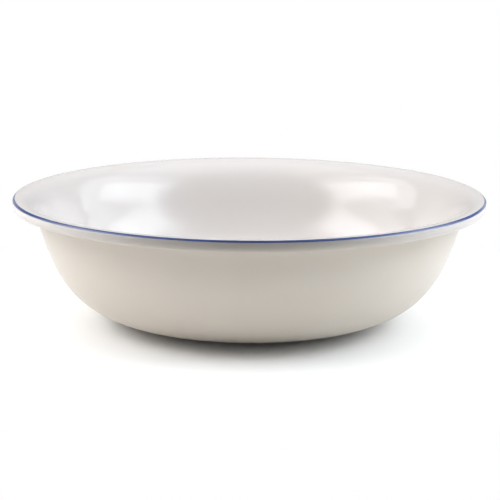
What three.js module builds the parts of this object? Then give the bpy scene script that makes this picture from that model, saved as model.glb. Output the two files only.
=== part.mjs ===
// A wide glazed stoneware salad bowl: a deep rounded wall on a low foot ring, a flared lip with a thick
// rolled edge, a glaze coat inside, outside and under the base, and one painted line round the lip.
// Millimetres, +Z up. The origin is the middle of the foot ring's standing face.
import * as THREE from "three";

// Overall sizes
const RIM_RADIUS = 140;
const HEIGHT = 75.5;

// Thickness of the finished wall and floor, of one glaze coat, and the hairline left between two layers
const WALL = 5;
const GLAZE = 0.4;
const HAIRLINE = 0.02;

// Foot ring: its outer radius, its width, and its height from the standing face up in three bands
const FOOT_RADIUS = 57;
const FOOT_WIDTH = 6;
const FOOT_BEVEL = 0.6;
const FOOT_BARE = 0.7;
const FOOT_GLAZED = 0.9;

// Rolled edge of the lip, from its crest down: top round, upright face, under round
const TOP_ROUND = 2.4;
const LIP_FACE = 0.9;
const UNDER_ROUND = 3.4;

// From the rolled edge in to the neck: the level underside of the flange, then the cove below it
const UNDERSIDE = 6.6;
const COVE_REACH = 8.8;
const COVE_RISE = 19.3;

// At the neck the wall stands steepest, and leans out by this many degrees
const NECK_LEAN = 18.4;

// Fullness of each curve: the share of its span along which it holds the direction of that end
const BELLY_LEVEL = 0.71;
const BELLY_UPRIGHT = 0.43;
const COVE_LEVEL = 0.41;
const COVE_UPRIGHT = 0.47;
const SHOULDER_LEVEL = 0.55;
const SHOULDER_UPRIGHT = 0.6;

// Painted line: its width along the surface, and its middle in degrees above level on the top round
const LINE_WIDTH = 1.5;
const LINE_ANGLE = 48;

// Facets round the bowl, and steps along each curve of the section
const FACETS = 48;
const WALL_STEPS = 10;
const COVE_STEPS = 4;
const UNDER_STEPS = 3;
const TOP_STEPS = 2;
const LINE_STEPS = 2;
const SHOULDER_STEPS = 7;

const STONEWARE = { color: 0xd9cbb5, roughness: 0.85 };
const INNER_WHITE = { color: 0xdcd6d3, roughness: 0.15 };
const OUTER_WHITE = { color: 0xd7cfc6, roughness: 0.33 };
const COBALT = { color: 0x24407f, roughness: 0.2 };

// Places that follow from the sizes above. A point of the section is a radius and a height.
const GLAZE_STOP = FOOT_BEVEL + FOOT_BARE;
const BASE_LEVEL = GLAZE_STOP + FOOT_GLAZED;
const FLOOR_LEVEL = BASE_LEVEL + WALL;
const FOOT_INSIDE = FOOT_RADIUS - FOOT_WIDTH;
const LIP_HEIGHT = TOP_ROUND + LIP_FACE + UNDER_ROUND;
const CREST = new THREE.Vector2(RIM_RADIUS - TOP_ROUND, HEIGHT);
const UNDERSIDE_END = new THREE.Vector2(RIM_RADIUS - UNDER_ROUND - UNDERSIDE, HEIGHT - LIP_HEIGHT);
const NECK = new THREE.Vector2(UNDERSIDE_END.x - COVE_REACH, UNDERSIDE_END.y - COVE_RISE);

const LEAN = THREE.MathUtils.degToRad(NECK_LEAN);
const UP_THE_NECK = new THREE.Vector2(Math.sin(LEAN), Math.cos(LEAN));
const DOWN_THE_NECK = UP_THE_NECK.clone().negate();
const OUTWARDS = new THREE.Vector2(1, 0);
const INWARDS = new THREE.Vector2(-1, 0);

// A smooth curve that leaves one point and reaches another along given directions.
function sweep(start, leaving, leavingLength, end, arriving, arrivingLength) {
  const first = start.clone().addScaledVector(leaving, leavingLength);
  const second = end.clone().addScaledVector(arriving, -arrivingLength);
  return new THREE.CubicBezierCurve(start, first, second, end);
}

function arc(centreRadius, centreHeight, radius, fromAngle, toAngle) {
  return new THREE.ArcCurve(centreRadius, centreHeight, radius, fromAngle, toAngle, false);
}

// A knot is a point of the finished surface with the way into the clay, one unit deep.
function knot(radius, height, inwardRadius, inwardHeight) {
  return {
    point: new THREE.Vector2(radius, height),
    inward: new THREE.Vector2(inwardRadius, inwardHeight),
  };
}

// Knots along a curve. The clay lies on the left of the way the section runs.
function trace(curve, steps) {
  return Array.from({ length: steps + 1 }, (_, i) => {
    const point = curve.getPoint(i / steps);
    const along = curve.getTangent(i / steps);
    return knot(point.x, point.y, -along.y, along.x);
  });
}

// The knots' points moved into the clay.
function sunk(knots, depth) {
  return knots.map(({ point, inward }) => point.clone().addScaledVector(inward, depth));
}

// The wall outside, from the foot ring up to the neck.
function wallOutside() {
  const start = new THREE.Vector2(FOOT_RADIUS, BASE_LEVEL);
  const level = BELLY_LEVEL * (NECK.x - FOOT_RADIUS);
  const upright = BELLY_UPRIGHT * (NECK.y - BASE_LEVEL);
  return trace(sweep(start, OUTWARDS, level, NECK, UP_THE_NECK, upright), WALL_STEPS);
}

// The wall inside, from the neck down to the floor, one wall thickness from the outside.
function wallInside(outside) {
  const points = sunk(outside, WALL);
  return outside.map(({ inward }, i) => knot(points[i].x, points[i].y, -inward.x, -inward.y)).reverse();
}

// The cove from the neck out to the level underside of the flange.
function cove() {
  const upright = COVE_UPRIGHT * COVE_RISE;
  const level = COVE_LEVEL * COVE_REACH;
  return trace(sweep(NECK, UP_THE_NECK, upright, UNDERSIDE_END, OUTWARDS, level), COVE_STEPS);
}

// The rolled edge below its upright face.
function underRound() {
  const height = HEIGHT - LIP_HEIGHT + UNDER_ROUND;
  return trace(arc(RIM_RADIUS - UNDER_ROUND, height, UNDER_ROUND, -Math.PI / 2, 0), UNDER_STEPS);
}

// The rolled edge above its upright face, in three stretches: below, under and above the painted line.
function topRound() {
  const middle = THREE.MathUtils.degToRad(LINE_ANGLE);
  const halfLine = LINE_WIDTH / 2 / TOP_ROUND;
  const hairline = HAIRLINE / TOP_ROUND;
  const low = middle - halfLine;
  const high = middle + halfLine;
  const stretch = (from, to, steps) => trace(arc(CREST.x, CREST.y - TOP_ROUND, TOP_ROUND, from, to), steps);
  return {
    below: stretch(0, low - hairline, TOP_STEPS),
    line: stretch(low, high, LINE_STEPS),
    above: stretch(high + hairline, Math.PI / 2, TOP_STEPS),
  };
}

// The shoulder inside, from the crest of the lip in and down to the neck.
function shoulder(neckInside) {
  const level = SHOULDER_LEVEL * (CREST.x - neckInside.x);
  const upright = SHOULDER_UPRIGHT * (CREST.y - neckInside.y);
  return trace(sweep(CREST, INWARDS, level, neckInside, DOWN_THE_NECK, upright), SHOULDER_STEPS);
}

// The finished surface, up the outside from the foot ring, over the lip and down to the middle of the floor
const outside = wallOutside();
const inside = wallInside(outside);
const top = topRound();
const skirt = [
  knot(FOOT_RADIUS, GLAZE_STOP, -1, 0),
  knot(FOOT_RADIUS, BASE_LEVEL, -1, 1),
  ...outside.slice(1),
  ...cove().slice(1),
  ...underRound(),
  ...top.below,
];
const lining = [
  ...top.above,
  ...shoulder(inside[0].point).slice(1),
  ...inside.slice(1),
  knot(0, FLOOR_LEVEL, 0, -1),
];

// The finished surface under the base, from its middle out and down the inner side of the foot ring
const underBase = [
  knot(0, BASE_LEVEL, 0, 1),
  knot(FOOT_INSIDE, BASE_LEVEL, 1, 1),
  knot(FOOT_INSIDE, GLAZE_STOP, 1, 0),
];

// A section turned round the bowl's axis.
function turned(name, section, finish) {
  const geometry = new THREE.LatheGeometry(section, FACETS);
  geometry.rotateX(Math.PI / 2);
  const mesh = new THREE.Mesh(geometry, new THREE.MeshStandardMaterial({ ...finish, metalness: 0 }));
  mesh.name = name;
  return mesh;
}

// The bare foot of the clay: its standing face between two bevels.
function standingFace(innerSide, outerSide) {
  return [
    new THREE.Vector2(innerSide, FOOT_BEVEL),
    new THREE.Vector2(innerSide + FOOT_BEVEL, 0),
    new THREE.Vector2(outerSide - FOOT_BEVEL, 0),
    new THREE.Vector2(outerSide, FOOT_BEVEL),
  ];
}

function clayBody() {
  const depth = GLAZE + HAIRLINE;
  const foot = standingFace(FOOT_INSIDE + depth, FOOT_RADIUS - depth);
  const above = sunk([...skirt, ...top.line, ...lining], depth);
  return turned("clay_body", [...sunk(underBase, depth), ...foot, ...above], STONEWARE);
}

// The face of a coat, and its back in the opposite order, which closes the coat's section.
function coat(knots) {
  return { face: sunk(knots, 0), back: sunk(knots, GLAZE).reverse() };
}

function innerGlaze() {
  const { face, back } = coat(lining);
  return turned("inner_glaze", [...back, ...face], INNER_WHITE);
}

function outerGlaze() {
  const { face, back } = coat(skirt);
  return turned("outer_glaze", [...face, ...back, face[0]], OUTER_WHITE);
}

function footGlaze() {
  const { face, back } = coat(underBase);
  return turned("foot_glaze", [...face, ...back], OUTER_WHITE);
}

function rimLine() {
  const { face, back } = coat(top.line);
  return turned("rim_line", [...face, ...back, face[0]], COBALT);
}

const bowl = new THREE.Group();
bowl.add(clayBody(), innerGlaze(), outerGlaze(), footGlaze(), rimLine());

export default bowl;
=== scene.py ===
"""Looks of a wide glazed stoneware salad bowl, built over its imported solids. Metres, +Z up."""
import math

import bpy
import numpy as np
from mathutils import Matrix, Vector


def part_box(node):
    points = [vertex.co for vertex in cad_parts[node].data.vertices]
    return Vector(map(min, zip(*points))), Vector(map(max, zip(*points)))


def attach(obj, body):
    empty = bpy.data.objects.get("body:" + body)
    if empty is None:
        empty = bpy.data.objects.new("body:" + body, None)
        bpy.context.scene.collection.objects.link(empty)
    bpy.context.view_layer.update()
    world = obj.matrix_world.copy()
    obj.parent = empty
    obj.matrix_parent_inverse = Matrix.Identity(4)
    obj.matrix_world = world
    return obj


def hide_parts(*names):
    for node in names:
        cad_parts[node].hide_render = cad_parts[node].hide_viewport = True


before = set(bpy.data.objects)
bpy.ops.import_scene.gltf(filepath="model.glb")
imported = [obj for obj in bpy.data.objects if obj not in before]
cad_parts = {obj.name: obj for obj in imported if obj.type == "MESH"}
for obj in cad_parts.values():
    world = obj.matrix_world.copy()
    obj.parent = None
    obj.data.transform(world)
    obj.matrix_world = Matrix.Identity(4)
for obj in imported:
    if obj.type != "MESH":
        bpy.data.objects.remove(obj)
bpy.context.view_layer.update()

MM = 0.001

# Sizes of the finished bowl, from the frame where it holds them
RIM_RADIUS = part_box("outer_glaze")[1].x
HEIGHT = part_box("inner_glaze")[1].z
WALL = 5.0 * MM
GLAZE = 0.4 * MM

FOOT_WIDTH = 6.0 * MM
FOOT_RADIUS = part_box("foot_glaze")[1].x - GLAZE + FOOT_WIDTH
FOOT_BEVEL = 0.6 * MM
FOOT_FILLET = 0.8 * MM
GLAZE_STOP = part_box("foot_glaze")[0].z
BASE_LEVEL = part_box("foot_glaze")[1].z - GLAZE

TOP_ROUND = 2.4 * MM
LIP_FACE = 0.9 * MM
UNDER_ROUND = 3.4 * MM
UNDERSIDE = 6.6 * MM
COVE_REACH = 8.8 * MM
COVE_RISE = 19.3 * MM
NECK_LEAN = math.radians(18.4)

# Share of each curve's span along which it holds the direction of that end
BELLY_LEVEL = 0.71
BELLY_UPRIGHT = 0.43
COVE_LEVEL = 0.41
COVE_UPRIGHT = 0.47
SHOULDER_LEVEL = 0.55
SHOULDER_UPRIGHT = 0.6

# Painted line on the top round, how far its edges stray, and how far its colour bleeds
LINE_WIDTH = 1.5 * MM
LINE_ANGLE = math.radians(48)
LINE_STRAY = 0.07 * MM
BLEED_LENGTH = 0.22 * MM

# Unevenness left by the kiln: the rim's tilt and warp, and the wander of the glaze's lower edge
RIM_TILT = 0.35 * MM
RIM_WARP = 0.1 * MM
STOP_WANDER = 0.1 * MM

# Waves of the line's edges and of the glaze's lower edge round the bowl, each a count and a phase
LOW_EDGE_WAVES = ((3, 0.4), (8, 2.0), (17, 5.1))
HIGH_EDGE_WAVES = ((2, 1.3), (7, 4.2), (19, 0.7))
STOP_WAVES = ((5, 0.2), (11, 2.6), (23, 4.0))

# Length over which a coat thins out towards its lower edge
STOP_ROLL = 2.0 * GLAZE

# How closely painted shade keeps to the lip's front by the camera, and how far painted shade reaches from
# the crease
LIP_SHADE_FOCUS = 4
CREASE_SHADE_LENGTH = 4.0 * MM

# Steps round the bowl and along the curves of its section, and the gap on each side of the line
ROUND_STEPS = 192
BELLY_STEPS = 44
COVE_STEPS = 14
ROUNDING_STEPS = 10
SHOULDER_STEPS = 30
FLOOR_STEPS = 6
HAIRLINE = 0.01 * MM

# Radius under which a ring of points is one point on the axis, and the angle from which an edge is sharp
ON_AXIS = 1e-9
SHARP_ANGLE = math.radians(40)

LIP_HEIGHT = TOP_ROUND + LIP_FACE + UNDER_ROUND
FLOOR_LEVEL = BASE_LEVEL + WALL
FOOT_INSIDE = FOOT_RADIUS - FOOT_WIDTH
CREST = np.array([RIM_RADIUS - TOP_ROUND, HEIGHT])
UNDERSIDE_END = np.array([RIM_RADIUS - UNDER_ROUND - UNDERSIDE, HEIGHT - LIP_HEIGHT])
NECK = UNDERSIDE_END - [COVE_REACH, COVE_RISE]
UP_THE_NECK = np.array([math.sin(NECK_LEAN), math.cos(NECK_LEAN)])
OUTWARDS = np.array([1.0, 0.0])

AZIMUTHS = np.arange(ROUND_STEPS) * 2 * math.pi / ROUND_STEPS


# Section: arrays of knots by azimuth. A knot holds radius, height and the way into the clay.

def knots(points, along):
    """Knots for a stretch that is the same all round."""
    along = along / np.linalg.norm(along, axis=1, keepdims=True)
    inward = np.column_stack([-along[:, 1], along[:, 0]])
    stretch = np.hstack([points, inward])
    return np.repeat(stretch[:, None, :], ROUND_STEPS, axis=1)


def sweep(start, leaving, leaving_length, end, arriving, arriving_length, steps):
    """A smooth curve that leaves one point and reaches another along given directions."""
    first = start + leaving_length * leaving
    second = end - arriving_length * arriving
    t = np.linspace(0, 1, steps + 1)[:, None]
    s = 1 - t
    points = s**3 * start + 3 * s * s * t * first + 3 * s * t * t * second + t**3 * end
    along = s * s * (first - start) + 2 * s * t * (second - first) + t * t * (end - second)
    return knots(points, along)


def straight(start, end, steps):
    t = np.linspace(0, 1, steps + 1)[:, None]
    along = np.repeat([np.subtract(end, start)], steps + 1, axis=0)
    return knots(np.add(start, t * along), along)


def arc(centre, radius, from_angles, to_angles, steps):
    """Part of a circle between two angles counted up from level, which may differ round the bowl."""
    from_angles = np.broadcast_to(from_angles, AZIMUTHS.shape)
    to_angles = np.broadcast_to(to_angles, AZIMUTHS.shape)
    angles = np.linspace(from_angles, to_angles, steps + 1)
    turn = np.sign(to_angles - from_angles)
    outward = np.stack([np.cos(angles), np.sin(angles)], axis=2)
    return np.concatenate([centre + radius * outward, -turn[:, None] * outward], axis=2)


def sunk(stretch, depth):
    """The stretch's points moved into the clay."""
    return stretch[:, :, :2] + stretch[:, :, 2:] * depth


def wander(length, waves):
    """A smooth drift round the bowl, from waves given as a count and a phase."""
    drift = sum(np.cos(count * AZIMUTHS + phase) / (1 + i) for i, (count, phase) in enumerate(waves))
    return length * drift


def wall_outside():
    start = np.array([FOOT_RADIUS, BASE_LEVEL])
    level = BELLY_LEVEL * (NECK[0] - FOOT_RADIUS)
    upright = BELLY_UPRIGHT * (NECK[1] - BASE_LEVEL)
    return sweep(start, OUTWARDS, level, NECK, UP_THE_NECK, upright, BELLY_STEPS)


def wall_inside(outside):
    """From the neck down to the floor, one wall thickness from the outside."""
    return np.concatenate([sunk(outside, WALL), -outside[:, :, 2:]], axis=2)[::-1]


def cove():
    upright = COVE_UPRIGHT * COVE_RISE
    level = COVE_LEVEL * COVE_REACH
    return sweep(NECK, UP_THE_NECK, upright, UNDERSIDE_END, OUTWARDS, level, COVE_STEPS)


def shoulder(neck_inside):
    level = SHOULDER_LEVEL * (CREST[0] - neck_inside[0])
    upright = SHOULDER_UPRIGHT * (CREST[1] - neck_inside[1])
    return sweep(CREST, -OUTWARDS, level, neck_inside, -UP_THE_NECK, upright, SHOULDER_STEPS)


def top_round():
    """The rolled edge's upper round: the stretches below, under and above the painted line."""
    centre = CREST - [0, TOP_ROUND]
    half = LINE_WIDTH / 2 / TOP_ROUND
    low = LINE_ANGLE - half + wander(LINE_STRAY / TOP_ROUND, LOW_EDGE_WAVES)
    high = LINE_ANGLE + half + wander(LINE_STRAY / TOP_ROUND, HIGH_EDGE_WAVES)
    hairline = HAIRLINE / TOP_ROUND
    return {
        "below": arc(centre, TOP_ROUND, 0, low - hairline, ROUNDING_STEPS),
        "line": arc(centre, TOP_ROUND, low, high, ROUNDING_STEPS),
        "above": arc(centre, TOP_ROUND, high + hairline, math.pi / 2, ROUNDING_STEPS),
    }


def foot_side(radius, outside):
    """The glazed side of the foot ring with the fillet where it meets the base, from the stop up."""
    turn = 1 if outside else -1
    centre = [radius + turn * FOOT_FILLET, BASE_LEVEL - FOOT_FILLET]
    side = straight([radius, GLAZE_STOP], [radius, centre[1]], ROUNDING_STEPS // 2)
    from_angle = math.pi if outside else 0.0
    fillet = arc(centre, FOOT_FILLET, from_angle, math.pi / 2, ROUNDING_STEPS)
    stretch = np.concatenate([side, fillet[1:]])
    if not outside:
        stretch[:, :, 2:] *= -1
    return stretch


def finished_section():
    """The finished surface's three stretches above the base, and the one under it."""
    outside = wall_outside()
    clear_of_fillet = outside[:, 0, 0] > FOOT_RADIUS + FOOT_FILLET
    inside = wall_inside(outside)
    top = top_round()
    under_centre = [RIM_RADIUS - UNDER_ROUND, HEIGHT - LIP_HEIGHT + UNDER_ROUND]
    under = arc(under_centre, UNDER_ROUND, -math.pi / 2, 0, ROUNDING_STEPS)
    skirt = [foot_side(FOOT_RADIUS, True), outside[clear_of_fillet], cove()[1:], under, top["below"]]
    floor = straight([FOOT_RADIUS, FLOOR_LEVEL], [0, FLOOR_LEVEL], FLOOR_STEPS)
    lining = [top["above"], shoulder(inside[0, 0, :2])[1:], inside[1:], floor[1:]]
    fillet_end = FOOT_INSIDE - FOOT_FILLET
    base = straight([0, BASE_LEVEL], [fillet_end, BASE_LEVEL], FLOOR_STEPS)
    under_base = [base[:-1], foot_side(FOOT_INSIDE, False)[::-1]]
    return {
        "skirt": np.concatenate(skirt),
        "line": top["line"],
        "lining": np.concatenate(lining),
        "under_base": np.concatenate(under_base),
    }


section = finished_section()


# Meshes

def fired(points):
    """Section points by azimuth as places in space, with the rim's slight tilt and warp."""
    radius = points[:, :, 0]
    height = points[:, :, 1]
    drift = RIM_TILT * np.cos(AZIMUTHS) + RIM_WARP * np.cos(2 * AZIMUTHS)
    lift = drift * (radius / RIM_RADIUS) * (height / HEIGHT) ** 2
    return np.stack([radius * np.sin(AZIMUTHS), -radius * np.cos(AZIMUTHS), height + lift], axis=2)


def turned(name, points, material, **marks):
    """A closed body from a section that starts and ends on the axis, or else closes on itself.

    Each mark is a value at every point of the section by azimuth, which the material reads by its name.
    """
    places = fired(points)
    on_axis = points[:, 0, 0] < ON_AXIS
    ring_ids = []
    vertices = []
    for ring, pole in zip(places, on_axis):
        kept = ring[:1] if pole else ring
        ring_ids.append(np.resize(np.arange(len(kept)) + len(vertices), ROUND_STEPS))
        vertices.extend(kept.tolist())
    if not on_axis.any():
        ring_ids.append(ring_ids[0])
    faces = []
    for lower, upper in zip(ring_ids, ring_ids[1:]):
        corners = zip(lower, np.roll(lower, -1), np.roll(upper, -1), upper)
        faces.extend(list(dict.fromkeys(map(int, corner))) for corner in corners)
    mesh = bpy.data.meshes.new(name)
    mesh.from_pydata(vertices, [], faces)
    mesh.shade_smooth()
    mesh.set_sharp_from_angle(angle=SHARP_ANGLE)
    mesh.materials.append(material)
    for mark, rows in marks.items():
        values = np.concatenate([row[:1] if pole else row for row, pole in zip(rows, on_axis)])
        mesh.attributes.new(mark, "FLOAT", "POINT").data.foreach_set("value", values.astype(np.float32))
    piece = bpy.data.objects.new(name, mesh)
    bpy.context.scene.collection.objects.link(piece)
    return piece


def dress(piece, node):
    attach(piece, "root")
    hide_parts(node)


def bleed_along(stretch, line_edge):
    """How much of the line's colour has run into the glaze at each knot, from 1 at the line's edge."""
    gap = np.linalg.norm(stretch[:, :, :2] - line_edge[None, :, :2], axis=2)
    return np.exp(-gap / BLEED_LENGTH)


def thinned(stretch, stop_first):
    """Depth of the coat's face: flush with the finished surface, and rolled down at its lower stop."""
    stop = stretch[0 if stop_first else -1, :, :2]
    gap = np.linalg.norm(stretch[:, :, :2] - stop[None], axis=2)
    share = np.clip(1 - gap / STOP_ROLL, 0, 1)
    return (GLAZE * (1 - np.sqrt(1 - share**2)))[:, :, None]


# Materials

# Places of the colours among the mix node's sockets
MIX_FIRST = 6
MIX_SECOND = 7
MIX_RESULT = 2

INNER_WHITE = (0.72, 0.68, 0.66)
INNER_WARM = (0.71, 0.665, 0.64)
INNER_ROUGHNESS = 0.11
OUTER_WHITE = (0.69, 0.633, 0.575)
OUTER_WARM = (0.675, 0.615, 0.555)
OUTER_ROUGHNESS = 0.33
# Whiter glaze on the lip, partly from thick glaze and partly a painted highlight
LIP_WHITE_AND_HIGHLIGHT = (0.73, 0.69, 0.67)
# Colour of the painted shade on the lip's front, where it faces the camera
PAINTED_LIP_SHADE = (0.42, 0.385, 0.35)
# Colour of the painted shade in the crease under the lip
CREASE_SHADE_COLOUR = (0.42, 0.375, 0.33)

# Shares of the glaze's other colours: painted shade at the lip's front and in the crease under it, and the
# line's stain
LIP_FRONT_SHADE = 0.9
CREASE_SHADE_SHARE = 0.6
STAIN = 0.6

# The glaze's cloudy tint, its uneven gloss, and the fine ripple of its surface
CLOUD_SCALE = 16
CLOUD_RANGE = (0.35, 0.7)
GLOSS_SCALE = 60
GLOSS_RANGE = (0.3, 0.7)
GLOSSIER = 0.02
DULLER = 0.03
RIPPLE_SCALE = 90
RIPPLE_STRENGTH = 0.06
RIPPLE_HEIGHT = 0.3 * MM

# The painted line: deep and thin colour, how far it thins, and its gloss
COBALT = (0.014, 0.038, 0.165)
COBALT_THIN = (0.05, 0.1, 0.32)
COBALT_SCALE = 55
COBALT_RANGE = (0.35, 0.75)
COBALT_THINNING = 0.35
COBALT_GLOSS_SCALE = 120
COBALT_ROUGHNESS = (0.1, 0.18)

# The bare clay: its patches of colour, and its grit
CLAY = (0.66, 0.56, 0.43)
CLAY_DARK = (0.5, 0.4, 0.29)
CLAY_ROUGHNESS = 0.88
PATCH_SCALE = 90
GRIT_SCALE = 1400
GRIT_STRENGTH = 0.5
GRIT_HEIGHT = 0.25 * MM


def new_material(name):
    material = bpy.data.materials.new(name)
    material.use_nodes = True
    tree = material.node_tree
    return material, tree, tree.nodes["Principled BSDF"]


def add(tree, kind, links=(), **settings):
    """A node with its settings, and links given as input name and output socket."""
    node = tree.nodes.new(kind)
    for name, value in settings.items():
        setattr(node, name, value)
    for name, output in links:
        tree.links.new(output, node.inputs[name])
    return node


def noise(tree, place, scale, detail, roughness=0.5):
    node = add(tree, "ShaderNodeTexNoise", [("Vector", place)])
    node.inputs["Scale"].default_value = scale
    node.inputs["Detail"].default_value = detail
    node.inputs["Roughness"].default_value = roughness
    return node.outputs["Fac"]


def remap(tree, value, from_low, from_high, to_low, to_high):
    node = add(tree, "ShaderNodeMapRange", [("Value", value)])
    node.inputs["From Min"].default_value = from_low
    node.inputs["From Max"].default_value = from_high
    node.inputs["To Min"].default_value = to_low
    node.inputs["To Max"].default_value = to_high
    return node.outputs["Result"]


def marked(tree, mark, most):
    """A value from 0 to the most given that follows a mark on the mesh, and is 0 on a mesh without it."""
    node = add(tree, "ShaderNodeAttribute", attribute_name=mark)
    return remap(tree, node.outputs["Fac"], 0, 1, 0, most)


def math_of(tree, operation, first, second=0):
    """Arithmetic on one or two values, which are each a number or an output socket."""
    node = add(tree, "ShaderNodeMath", operation=operation)
    for socket, value in zip(node.inputs, (first, second)):
        if isinstance(value, (int, float)):
            socket.default_value = value
        else:
            tree.links.new(value, socket)
    return node.outputs[0]


def blend(tree, factor, first, second):
    """A colour between two, which are each a colour or an output socket."""
    node = add(tree, "ShaderNodeMix", [("Factor", factor)], data_type="RGBA")
    for place, colour in ((MIX_FIRST, first), (MIX_SECOND, second)):
        if isinstance(colour, tuple):
            node.inputs[place].default_value = (*colour, 1.0)
        else:
            tree.links.new(colour, node.inputs[place])
    return node.outputs[MIX_RESULT]


def place_of(tree):
    return tree.nodes.new("ShaderNodeTexCoord").outputs["Object"]


def bump(tree, height, strength, distance):
    node = add(tree, "ShaderNodeBump", [("Height", height)])
    node.inputs["Strength"].default_value = strength
    node.inputs["Distance"].default_value = distance
    return node.outputs["Normal"]


def glaze_material(name, white, warm, roughness):
    """A cloudy white glaze: whiter on the lip from thick glaze and a painted highlight, with painted shade
    at its front and under it, stained by the line.
    """
    material, tree, shader = new_material(name)
    place = place_of(tree)
    cloud = noise(tree, place, CLOUD_SCALE, detail=3)
    tint = blend(tree, remap(tree, cloud, *CLOUD_RANGE, 0, 1), white, warm)
    # The lip is whiter: thick glaze, and a painted highlight
    rolled = blend(tree, marked(tree, "lip", 1), tint, LIP_WHITE_AND_HIGHLIGHT)
    # Painted shade: the lip's front is darkened on the camera's side
    lip_front_shaded = blend(tree, marked(tree, "edge", LIP_FRONT_SHADE), rolled, PAINTED_LIP_SHADE)
    # Painted shade in the crease under the lip
    crease_shaded = blend(tree, marked(tree, "crease_shade", CREASE_SHADE_SHARE), lip_front_shaded, CREASE_SHADE_COLOUR)
    stained = blend(tree, marked(tree, "bleed", STAIN), crease_shaded, COBALT_THIN)
    tree.links.new(stained, shader.inputs["Base Color"])
    gloss = noise(tree, place, GLOSS_SCALE, detail=2)
    uneven = remap(tree, gloss, *GLOSS_RANGE, roughness - GLOSSIER, roughness + DULLER)
    tree.links.new(uneven, shader.inputs["Roughness"])
    ripple = noise(tree, place, RIPPLE_SCALE, detail=2)
    tree.links.new(bump(tree, ripple, RIPPLE_STRENGTH, RIPPLE_HEIGHT), shader.inputs["Normal"])
    return material


def cobalt_material():
    """The line's colour, deeper and paler along the brush's way."""
    material, tree, shader = new_material("cobalt_line")
    place = place_of(tree)
    density = noise(tree, place, COBALT_SCALE, detail=3)
    colour = blend(tree, remap(tree, density, *COBALT_RANGE, 0, COBALT_THINNING), COBALT, COBALT_THIN)
    tree.links.new(colour, shader.inputs["Base Color"])
    gloss = noise(tree, place, COBALT_GLOSS_SCALE, detail=2)
    tree.links.new(remap(tree, gloss, *GLOSS_RANGE, *COBALT_ROUGHNESS), shader.inputs["Roughness"])
    return material


def clay_material():
    """Bare fired stoneware: buff, gritty and matt."""
    material, tree, shader = new_material("bare_stoneware")
    place = place_of(tree)
    patch = noise(tree, place, PATCH_SCALE, detail=4, roughness=0.6)
    colour = blend(tree, remap(tree, patch, *CLOUD_RANGE, 0, 1), CLAY, CLAY_DARK)
    tree.links.new(colour, shader.inputs["Base Color"])
    shader.inputs["Roughness"].default_value = CLAY_ROUGHNESS
    grit = noise(tree, place, GRIT_SCALE, detail=3, roughness=0.7)
    tree.links.new(bump(tree, grit, GRIT_STRENGTH, GRIT_HEIGHT), shader.inputs["Normal"])
    return material


inner_white = glaze_material("inner_glaze", INNER_WHITE, INNER_WARM, INNER_ROUGHNESS)
outer_white = glaze_material("outer_glaze", OUTER_WHITE, OUTER_WARM, OUTER_ROUGHNESS)
cobalt = cobalt_material()
clay = clay_material()


# Pieces

def coat(stretch, face_depth):
    """The closed section of a coat: its face, then its back in the opposite order."""
    face = sunk(stretch, face_depth)
    back = sunk(stretch, GLAZE)[::-1]
    return face, back


def stop_drift(stretch, stop_first):
    """Lets the coat's lower stop rise and fall a little round the foot ring."""
    drifted = stretch.copy()
    stop = drifted[0 if stop_first else -1]
    gap = np.abs(drifted[:, :, 1] - stop[None, :, 1]) / (BASE_LEVEL - GLAZE_STOP)
    on_side = np.clip(1 - gap, 0, 1) * (drifted[:, :, 1] < BASE_LEVEL)
    drifted[:, :, 1] += on_side * wander(STOP_WANDER, STOP_WAVES)
    return drifted


def make_clay_body():
    inner = FOOT_INSIDE + GLAZE
    outer = FOOT_RADIUS - GLAZE
    quarter = math.pi / 2
    inner_bevel = arc([inner + FOOT_BEVEL, FOOT_BEVEL], FOOT_BEVEL, -2 * quarter, -quarter, ROUNDING_STEPS)
    outer_bevel = arc([outer - FOOT_BEVEL, FOOT_BEVEL], FOOT_BEVEL, -quarter, 0, ROUNDING_STEPS)
    above = np.concatenate([section["skirt"], section["line"], section["lining"]])
    parts = [
        sunk(section["under_base"], GLAZE),
        inner_bevel[:, :, :2],
        outer_bevel[:, :, :2],
        sunk(above, GLAZE),
    ]
    piece = turned("fired_clay", np.concatenate(parts), clay)
    dress(piece, "clay_body")


def make_inner_glaze():
    stretch = section["lining"]
    face, back = coat(stretch, 0)
    run = bleed_along(stretch, section["line"][-1])
    both = np.concatenate([run[::-1], run])
    piece = turned("lining_glaze", np.concatenate([back, face]), inner_white, bleed=both)
    dress(piece, "inner_glaze")


def make_outer_glaze():
    stretch = stop_drift(section["skirt"], True)
    face, back = coat(stretch, thinned(stretch, True))
    on_lip = np.clip((stretch[:, :, 0] - UNDERSIDE_END[0]) / UNDERSIDE, 0, 1)
    from_crease = np.linalg.norm(stretch[:, :, :2] - UNDERSIDE_END, axis=2)
    on_face = {
        "bleed": bleed_along(stretch, section["line"][0]),
        # Whitens the lip: thick glaze, and a painted highlight
        "lip": on_lip,
        # Painted shade on the lip, strongest on the camera's side and gone at the back
        "edge": on_lip * np.clip(np.cos(AZIMUTHS), 0, 1) ** LIP_SHADE_FOCUS,
        # Painted shade, darkest at the crease under the lip and fading away from it
        "crease_shade": np.exp(-from_crease / CREASE_SHADE_LENGTH),
    }
    marks = {mark: np.concatenate([rows, rows[::-1]]) for mark, rows in on_face.items()}
    piece = turned("skirt_glaze", np.concatenate([face, back]), outer_white, **marks)
    dress(piece, "outer_glaze")


def make_foot_glaze():
    stretch = stop_drift(section["under_base"], False)
    face, back = coat(stretch, thinned(stretch, False))
    piece = turned("base_glaze", np.concatenate([face, back]), outer_white)
    dress(piece, "foot_glaze")


def make_rim_line():
    face, back = coat(section["line"], 0)
    piece = turned("painted_line", np.concatenate([face, back]), cobalt)
    dress(piece, "rim_line")


make_clay_body()
make_inner_glaze()
make_outer_glaze()
make_foot_glaze()
make_rim_line()


# Stage: floor, world, lamps and camera

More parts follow.
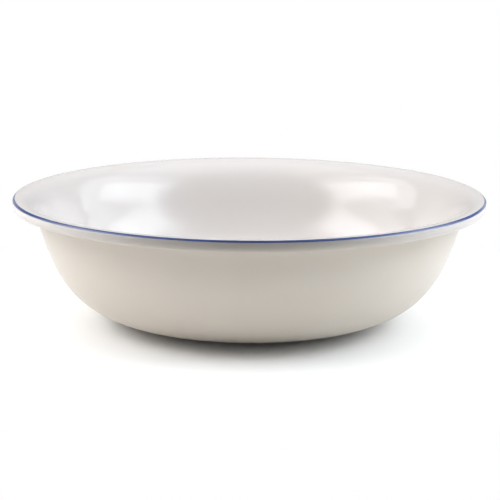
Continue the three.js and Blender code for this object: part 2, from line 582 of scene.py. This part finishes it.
FLOOR_SIZE = 12.0
FLOOR_PALE = (0.88, 0.865, 0.82)
FLOOR_SHADE = (0.05, 0.05, 0.05)
FLOOR_SHOWN = (0.88, 0.88, 0.88)

# The floor throws little light back from a strip towards the camera: where it starts, and its half width
SHADE_STARTS = -0.18
SHADE_FULL = -0.24
SHADE_INNER = 0.15
SHADE_OUTER = 0.45

# The floor's added glow, which makes it white: none under the bowl, and plain white far from the axis
GLOW = 0.3
GLOW_STARTS = 0.06
GLOW_FULL = 0.16
WHITE_STARTS = 0.1
WHITE_FULL = 0.26

# Brightness of the room as light and in reflections, and its dark side, low down by the camera
ROOM = 0.38
ROOM_MIRRORED = 0.42
ROOM_TILT = math.radians(50)
ROOM_DARK = -0.05
ROOM_FULL = 0.45

# Tints of the lamps, and the distance, the height and the depth of those that lie on the floor
PLAIN = (1, 1, 1)
COOL = (0.87, 0.94, 1)
REFLECTOR_REACH = 0.185
REFLECTOR_LEVEL = 0.003
REFLECTOR_DEPTH = 0.08

# Lamps that face the bowl: name, azimuth, elevation, distance, width, height, brightness and tint
SOFTBOXES = (
    ("overhead", 0, 90, 1.2, 1.2, 1.2, 0.55, PLAIN),
    ("left_halo", -89, 37, 1.0, 1.2, 0.7, 2.0, PLAIN),
    ("left_softbox", -84, 36.5, 1.0, 0.8, 0.37, 2.7, PLAIN),
    ("left_core", -80, 36.5, 1.0, 0.5, 0.26, 1.8, COOL),
    ("left_top", -90, 62, 1.1, 0.9, 0.5, 0.7, PLAIN),
    ("left_card", -84, 7, 1.1, 1.2, 0.3, 0.95, PLAIN),
    ("left_rear_card", -140, 7, 1.1, 0.6, 0.3, 0.35, PLAIN),
    ("right_halo", 92, 33.5, 1.0, 1.2, 0.7, 2.3, COOL),
    ("right_softbox", 86, 33, 1.0, 0.73, 0.38, 2.7, COOL),
    ("right_core", 83, 33, 1.0, 0.5, 0.27, 1.6, COOL),
    ("right_top", 90, 62, 1.1, 0.9, 0.5, 0.9, COOL),
    ("right_card", 84, 7, 1.1, 1.2, 0.3, 0.9, COOL),
    ("right_rear_card", 140, 7, 1.1, 0.6, 0.3, 0.75, COOL),
)

# Lamps that lie on the floor beside the bowl: name, azimuth, width and brightness
REFLECTORS = (
    ("front_reflector", 0, 0.3, 0.64),
    ("left_reflector", -52, 0.16, 0.22),
    ("right_reflector", 56, 0.16, 0.3),
)

# The camera's place from the rim's middle, how far below that it looks, and its lens in pixels
CAMERA_DISTANCE = 1.2
CAMERA_ELEVATION = math.radians(10.217)
CAMERA_PITCH = math.radians(1.576)
CAMERA_YAW = math.radians(0.023)
CAMERA_ROLL = math.radians(0.362)
FOCAL_PIXELS = 2023.2
PICTURE_PIXELS = 500


def shown_rays(tree):
    """Two values that are 1 for rays that show the stage: camera rays, and glossy or transmission rays."""
    path = tree.nodes.new("ShaderNodeLightPath")
    mirrored = math_of(tree, "MAXIMUM", path.outputs["Is Glossy Ray"], path.outputs["Is Transmission Ray"])
    return path.outputs["Is Camera Ray"], mirrored


def either_shader(tree, factor, first, second):
    mixed = add(tree, "ShaderNodeMixShader")
    for socket, output in zip(mixed.inputs, (factor, first, second)):
        tree.links.new(output, socket)
    return mixed.outputs[0]


def floor_material():
    """White where it shows, with the bowl's shadow; pale under the light, and dark towards the camera."""
    material = bpy.data.materials.new("floor")
    material.use_nodes = True
    tree = material.node_tree
    tree.nodes.clear()
    place = tree.nodes.new("ShaderNodeNewGeometry").outputs["Position"]
    flat = add(tree, "ShaderNodeVectorMath", [(0, place)], operation="MULTIPLY")
    flat.inputs[1].default_value = (1, 1, 0)
    reach = add(tree, "ShaderNodeVectorMath", [(0, flat.outputs[0])], operation="LENGTH").outputs["Value"]
    parts = add(tree, "ShaderNodeSeparateXYZ", [("Vector", place)])
    ahead = remap(tree, parts.outputs["Y"], SHADE_STARTS, SHADE_FULL, 0, 1)
    aside = math_of(tree, "ABSOLUTE", parts.outputs["X"])
    strip = math_of(tree, "MULTIPLY", ahead, remap(tree, aside, SHADE_INNER, SHADE_OUTER, 1, 0))

    lit = add(tree, "ShaderNodeBsdfDiffuse")
    tree.links.new(blend(tree, strip, FLOOR_PALE, FLOOR_SHADE), lit.inputs["Color"])
    shadowed = add(tree, "ShaderNodeBsdfDiffuse")
    shadowed.inputs["Color"].default_value = (*FLOOR_SHOWN, 1)
    glow = add(tree, "ShaderNodeEmission")
    tree.links.new(remap(tree, reach, GLOW_STARTS, GLOW_FULL, 0, GLOW), glow.inputs["Strength"])
    near = add(tree, "ShaderNodeAddShader", [(0, shadowed.outputs[0]), (1, glow.outputs[0])])
    white = add(tree, "ShaderNodeEmission")
    far = remap(tree, reach, WHITE_STARTS, WHITE_FULL, 0, 1)
    shown = either_shader(tree, far, near.outputs[0], white.outputs[0])

    camera, mirrored = shown_rays(tree)
    shows = math_of(tree, "MAXIMUM", camera, mirrored)
    output = add(tree, "ShaderNodeOutputMaterial")
    tree.links.new(either_shader(tree, shows, lit.outputs[0], shown), output.inputs["Surface"])
    return material


def make_floor():
    mesh = bpy.data.meshes.new("floor")
    half = FLOOR_SIZE / 2
    corners = [(-half, -half, 0), (half, -half, 0), (half, half, 0), (-half, half, 0)]
    mesh.from_pydata(corners, [], [(0, 1, 2, 3)])
    mesh.materials.append(floor_material())
    floor = bpy.data.objects.new("floor", mesh)
    bpy.context.scene.collection.objects.link(floor)


def make_world():
    """A soft room: white behind the bowl, brighter above and at the back than low down by the camera."""
    world = bpy.data.worlds.new("studio")
    world.use_nodes = True
    bpy.context.scene.world = world
    tree = world.node_tree
    tree.nodes.clear()
    way = tree.nodes.new("ShaderNodeTexCoord").outputs["Generated"]
    parts = add(tree, "ShaderNodeSeparateXYZ", [("Vector", way)])
    back = math_of(tree, "MULTIPLY", parts.outputs["Y"], math.cos(ROOM_TILT))
    up = math_of(tree, "MULTIPLY", parts.outputs["Z"], math.sin(ROOM_TILT))
    bright_side = remap(tree, math_of(tree, "ADD", back, up), ROOM_DARK, ROOM_FULL, 0, 1)
    camera, mirrored = shown_rays(tree)
    level = remap(tree, mirrored, 0, 1, ROOM, ROOM_MIRRORED)
    room = math_of(tree, "MULTIPLY", bright_side, level)
    light = add(tree, "ShaderNodeBackground")
    light.inputs["Color"].default_value = (1, 1, 1, 1)
    tree.links.new(math_of(tree, "MAXIMUM", room, camera), light.inputs["Strength"])
    output = add(tree, "ShaderNodeOutputWorld")
    tree.links.new(light.outputs[0], output.inputs["Surface"])


def softbox(name, azimuth, elevation, distance, width, height, brightness, tint):
    """A lamp that faces the bowl. Azimuth 0 is the camera's side and 90 the right, in degrees."""
    light = bpy.data.lights.new(name, "AREA")
    light.shape = "RECTANGLE"
    light.size = width
    light.size_y = height
    light.color = tint
    light.energy = brightness * math.pi * width * height
    lamp = bpy.data.objects.new(name, light)
    turn = math.radians(azimuth)
    rise = math.radians(elevation)
    way = Vector((math.sin(turn) * math.cos(rise), -math.cos(turn) * math.cos(rise), math.sin(rise)))
    lamp.location = Vector((0, 0, HEIGHT / 2)) + distance * way
    lamp.rotation_euler = way.to_track_quat("Z", "Y").to_euler()
    lamp.visible_camera = False
    bpy.context.scene.collection.objects.link(lamp)
    return lamp


def floor_reflector(name, azimuth, width, brightness):
    """A lamp that lies on the floor beside the bowl and faces up."""
    lamp = softbox(name, azimuth, 0, REFLECTOR_REACH, width, REFLECTOR_DEPTH, brightness, PLAIN)
    lamp.visible_glossy = False
    lamp.location.z = REFLECTOR_LEVEL
    lamp.rotation_euler = (math.pi, 0, math.radians(azimuth))


def make_lamps():
    for row in SOFTBOXES:
        softbox(*row)
    for row in REFLECTORS:
        floor_reflector(*row)


def make_camera():
    """Stands off from the rim's middle, and looks a little below it."""
    data = bpy.data.cameras.new("camera")
    data.lens = FOCAL_PIXELS / PICTURE_PIXELS * data.sensor_width
    camera = bpy.data.objects.new("camera", data)
    back = CAMERA_DISTANCE * math.cos(CAMERA_ELEVATION)
    up = CAMERA_DISTANCE * math.sin(CAMERA_ELEVATION)
    tilt = math.pi / 2 - CAMERA_ELEVATION - CAMERA_PITCH
    turn = Matrix.Rotation(-CAMERA_YAW, 4, "Z") @ Matrix.Rotation(tilt, 4, "X")
    roll = Matrix.Rotation(CAMERA_ROLL, 4, "Z")
    camera.matrix_world = Matrix.Translation((0, -back, HEIGHT + up)) @ turn @ roll
    bpy.context.scene.collection.objects.link(camera)
    bpy.context.scene.camera = camera


make_floor()
make_world()
make_lamps()
make_camera()
bpy.context.scene.view_settings.view_transform = "Standard"
